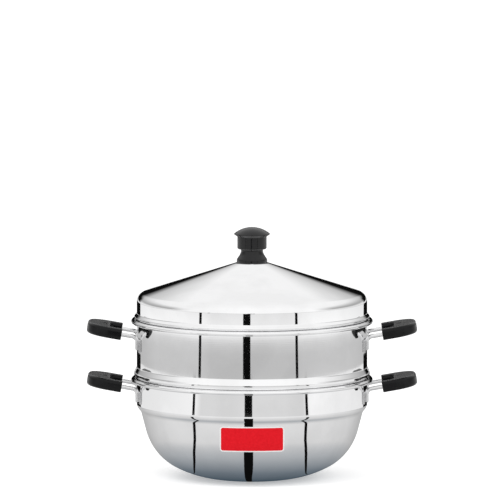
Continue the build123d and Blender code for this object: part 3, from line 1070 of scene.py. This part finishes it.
def painted_tent_seen(tree, bearing, reach, far):
    """Painted reflection: how bright the white tent is painted on the floor, round about and
    outwards, as each part of the metal sees it.
    """
    turn = maths(tree, "DIVIDE", bearing, half_turn)
    outwards = maths(tree, "DIVIDE", reach, room_reach)
    past_pan = maths(tree, "GREATER_THAN", reach, pan_reach)
    past_tier = maths(tree, "GREATER_THAN", reach, tier_reach)
    round_bowl = grey_ramp(tree, turn,
                           (0.0, 1.0), (0.35, 1.0), (0.55, 0.86), (0.72, 0.62), (1.0, 0.42))
    # Painted shade: the floor that the bowl mirrors is painted dark near the axis and lighter
    # outwards.
    painted_shade_under_pan = ramp(tree, maths(tree, "DIVIDE", reach, shade_reach), [
        (0.0, (0.03, 0.045, 0.06)), (0.17, (0.05, 0.075, 0.10)), (0.27, (0.16, 0.19, 0.22)),
        (0.4, (0.42, 0.44, 0.46)), (0.6, grey(0.70)), (1.0, grey(0.86)),
    ])
    round_pan = grey_ramp(tree, turn,
                          (0.0, 0.74), (0.27, 0.72), (0.31, 0.99), (0.55, 0.90), (0.80, 0.84))
    round_tier = grey_ramp(tree, turn,
                           (0.0, 0.88), (0.22, 0.90), (0.28, 1.0), (0.6, 0.98), (0.80, 0.86))
    fall = grey_ramp(tree, outwards,
                     (0.278, 0.60), (0.303, 0.70), (0.311, 1.02), (0.33, 1.06), (0.417, 0.92))
    round_lid = grey_ramp(tree, turn,
                          (0.0, 0.78), (0.14, 0.70), (0.24, 0.56), (0.5, 0.54), (0.8, 0.66))
    round_wall = grey_ramp(tree, turn,
                           (0.0, 0.70), (0.16, 0.74), (0.22, 0.92), (0.5, 0.95), (0.8, 0.86))
    lid_share = grey_ramp(tree, outwards, (0.8, 1.0), (0.88, 1.0), (0.90, 0.0))
    bowl_tent = blend_colour(tree, 1.0, round_bowl, painted_shade_under_pan, "MULTIPLY")
    tier_tent = blend_colour(tree, 1.0, round_tier, fall, "MULTIPLY")
    lid_tent = blend_colour(tree, lid_share, round_wall, round_lid)
    tent = blend_colour(tree, past_pan, round_pan, tier_tent)
    tent = blend_colour(tree, past_tier, tent, lid_tent)
    return blend_colour(tree, far, bowl_tent, tent)


def slot_ramp(tree, reach, whole, rows, interpolation="LINEAR"):
    """The slots' places by reach: the side slots' bearing, their shift and the front one's,
    held as shares of a right angle."""
    stops = [(at / whole, [angle / right_angle for angle in angles]) for at, *angles in rows]
    return ramp(tree, maths(tree, "DIVIDE", reach, whole), stops, interpolation)


def painted_dark_slots(tree, around, reach, far):
    """The painted tent's dark slots, a painted reflection: a wide one in front and a thin one on
    each side. Under the pan they bend, so that they stand upright in the curve of its bowl."""
    on_walls = slot_ramp(tree, reach, room_reach, (
        (0.0, 54.3, 1.9, 3.3), (pan_reach, 47.3, 3.8, 5.0), (tier_reach, 43.3, 0, 0.8),
    ), "CONSTANT")
    on_bowl = slot_ramp(tree, reach, bowl_reach, (
        (0.068, 75, 5, 3.5), (0.070, 69, 4.5, 3.4), (0.0725, 64, 3.8, 3.3),
        (0.075, 61.2, 3.4, 3.2), (0.0775, 58.8, 3.1, 3.1), (0.080, 56.8, 2.9, 3.0),
        (0.085, 53.7, 2.6, 2.9), (0.090, 51.4, 2.4, 2.8), (0.095, 49.7, 2.2, 2.7),
        (0.100, 48.4, 2.1, 2.7), (0.105, 47.4, 2.0, 2.6), (0.110, 46.7, 2.0, 2.6),
        (0.120, 45.9, 1.9, 2.6), (0.140, 45.6, 1.9, 2.6), (0.160, 45.9, 1.8, 2.6),
        (0.180, 46.6, 1.9, 2.6), (bowl_reach, 48.0, 1.9, 2.6),
    ))
    places = set_node(tree, "ShaderNodeSeparateColor",
                      {0: blend_colour(tree, far, on_bowl, on_walls)})
    side_place, side_shift, centre_shift = (
        maths(tree, "MULTIPLY", share, right_angle) for share in places.outputs)
    off_centre = maths(tree, "ABSOLUTE", maths(tree, "ADD", around, centre_shift))
    off_side = maths(tree, "SUBTRACT",
                     maths(tree, "ABSOLUTE", maths(tree, "ADD", around, side_shift)), side_place)
    centre = maths(tree, "LESS_THAN", off_centre, centre_slot_half)
    side = maths(tree, "LESS_THAN", maths(tree, "ABSOLUTE", off_side), side_slot_half)
    between = maths(tree, "MULTIPLY", maths(tree, "LESS_THAN", reach, slots_from),
                    maths(tree, "GREATER_THAN", reach, bowl_reach))
    return maths(tree, "MULTIPLY", maths(tree, "MAXIMUM", centre, side),
                 maths(tree, "SUBTRACT", 1.0, between))


def painted_dark_gap_behind(tree, bearing, reach, far):
    """The painted tent's open back, a painted dark reflection that widens near the pan. The walls
    see it, but not the skirt.
    """
    edge = maths(tree, "SUBTRACT", gap_from, maths(tree, "DIVIDE", gap_widening, reach))
    gap = maths(tree, "MULTIPLY", maths(tree, "GREATER_THAN", bearing, edge),
                maths(tree, "LESS_THAN", bearing, gap_to))
    walls = maths(tree, "MULTIPLY", far, maths(tree, "LESS_THAN", reach, tier_reach))
    off_skirt = maths(tree, "ABSOLUTE", maths(tree, "SUBTRACT", reach, skirt_reach))
    skirt = maths(tree, "LESS_THAN", off_skirt, skirt_half)
    return maths(tree, "MULTIPLY", gap, maths(tree, "SUBTRACT", walls, skirt))


def mirrored_rays(tree):
    """The light path, and whether the ray comes from a mirroring or a clear surface."""
    ray = tree.nodes.new("ShaderNodeLightPath").outputs
    return ray, maths(tree, "MAXIMUM", ray["Is Glossy Ray"], ray["Is Transmission Ray"])


def studio_floor():
    """A pale floor that keeps the shadow. For polished metal the floor is painted instead: a
    painted reflection of the white light tent, with the tent's dark slots and painted shade under
    the pan."""
    bpy.ops.object.select_all(action="DESELECT")
    bpy.ops.mesh.primitive_plane_add(size=floor_size)
    floor = bpy.context.object
    floor.name = "studio_floor"
    material, tree, shader = new_material("studio floor")
    tree.nodes.remove(shader)
    place = own_place(tree)
    split = set_node(tree, "ShaderNodeSeparateXYZ", {0: place})
    front = maths(tree, "MULTIPLY", split.outputs[1], -1.0)
    turned = maths(tree, "ARCTAN2", split.outputs[0], front)
    around = maths(tree, "MULTIPLY", turned, math.degrees(1))
    bearing = maths(tree, "ABSOLUTE", around)
    reach = axis_reach(tree, place)
    far = maths(tree, "GREATER_THAN", reach, near_reach)
    dark = maths(tree, "MAXIMUM", painted_dark_slots(tree, around, reach, far),
                 painted_dark_gap_behind(tree, bearing, reach, far))
    # Painted reflection: mirrored rays see the painted tent, its slots and the painted shade as
    # emission.
    seen = blend_colour(tree, dark, painted_tent_seen(tree, bearing, reach, far), grey(slot_black))

    reflected = set_node(tree, "ShaderNodeEmission", {"Color": seen})
    paint = set_node(tree, "ShaderNodeBsdfDiffuse", {"Color": (*grey(floor_paint), 1)})
    glow = set_node(tree, "ShaderNodeEmission",
                    {"Color": (*grey(1.0), 1), "Strength": floor_glow})
    pale = set_node(tree, "ShaderNodeAddShader", {0: paint.outputs[0], 1: glow.outputs[0]})
    ray, mirrored = mirrored_rays(tree)
    lit = set_node(tree, "ShaderNodeMixShader",
                   {0: ray["Is Camera Ray"], 1: paint.outputs[0], 2: pale.outputs[0]})
    shown = set_node(tree, "ShaderNodeMixShader",
                     {0: mirrored, 1: lit.outputs[0], 2: reflected.outputs[0]})
    out = next(n for n in tree.nodes if n.type == "OUTPUT_MATERIAL")
    tree.links.new(shown.outputs[0], out.inputs["Surface"])
    floor.data.materials.append(material)


def studio_room():
    """White surroundings. For polished metal they are painted instead: a painted reflection of grey
    and a dark flag low down behind.
    """
    world = bpy.data.worlds.new("studio room")
    bpy.context.scene.world = world
    world.use_nodes = True
    tree = world.node_tree
    tree.nodes.clear()
    way = tree.nodes.new("ShaderNodeTexCoord").outputs["Generated"]
    split = set_node(tree, "ShaderNodeSeparateXYZ", {0: way})
    back, up = split.outputs[1], split.outputs[2]
    rear = grey_ramp(tree, maths(tree, "MAXIMUM", up, 0.0),
                     (0.0, 0.85), (0.15, 0.40), (0.3, 0.55), (0.55, 0.95), (1.0, 1.0))
    turned = grey_ramp(tree, maths(tree, "MULTIPLY_ADD", back, 0.5, 0.5), (0.3, 0.0), (0.5, 1.0))
    tent = blend_colour(tree, turned, grey(1.03), rear)
    # Painted reflection: a dark flag low down behind, seen only in mirrored rays.
    behind = grey_ramp(tree, back, (0.84, 0.0), (0.90, 1.0))
    low = grey_ramp(tree, up, (0.19, 1.0), (0.30, 0.0))
    seen = blend_colour(tree, maths(tree, "MULTIPLY", behind, low), tent, grey(slot_black))
    ray, mirrored = mirrored_rays(tree)
    colour = blend_colour(tree, mirrored, grey(1.0), seen)
    direct = maths(tree, "MAXIMUM", mirrored, ray["Is Camera Ray"])
    strength = maths(tree, "MULTIPLY_ADD", direct, 1 - room_light, room_light)
    background = set_node(tree, "ShaderNodeBackground", {"Color": colour, "Strength": strength})
    out = tree.nodes.new("ShaderNodeOutputWorld")
    tree.links.new(background.outputs[0], out.inputs["Surface"])


def soft_lamp(name, place, size, power):
    bpy.ops.object.light_add(type="AREA", location=place)
    lamp = bpy.context.object
    lamp.name = name
    lamp.data.size = size
    lamp.data.energy = power
    lamp.visible_glossy = False
    aim = Vector((0, 0, 0.12))
    lamp.rotation_euler = (aim - Vector(place)).to_track_quat("-Z", "Y").to_euler()


def photo_camera():
    """A long lens, a little above the rim, that puts the pan where the photograph has it."""
    rise = 6.3
    distance = 15.6
    picture = 500
    pixels_per_metre = 896
    axis_x, rim_y = 252, 380
    data = bpy.data.cameras.new("photo camera")
    camera = bpy.data.objects.new("photo camera", data)
    bpy.context.scene.collection.objects.link(camera)
    data.sensor_width = 36
    data.lens = data.sensor_width * distance * pixels_per_metre / picture
    data.clip_end = 100
    angle = math.radians(rise)
    aim = Vector((
        (picture / 2 - axis_x) / pixels_per_metre,
        0,
        pan_rim_z + (rim_y - picture / 2) / pixels_per_metre / math.cos(angle),
    ))
    away = Vector((0, -math.cos(angle), math.sin(angle)))
    camera.location = aim + away * distance
    camera.rotation_euler = away.to_track_quat("Z", "Y").to_euler()
    bpy.context.scene.camera = camera


studio_floor()
studio_room()
soft_lamp("key lamp", place=(-1.4, -1.6, 2.2), size=1.6, power=26)
soft_lamp("fill lamp", place=(1.8, -1.0, 1.6), size=1.6, power=12)
photo_camera()
bpy.context.scene.view_settings.view_transform = "Standard"
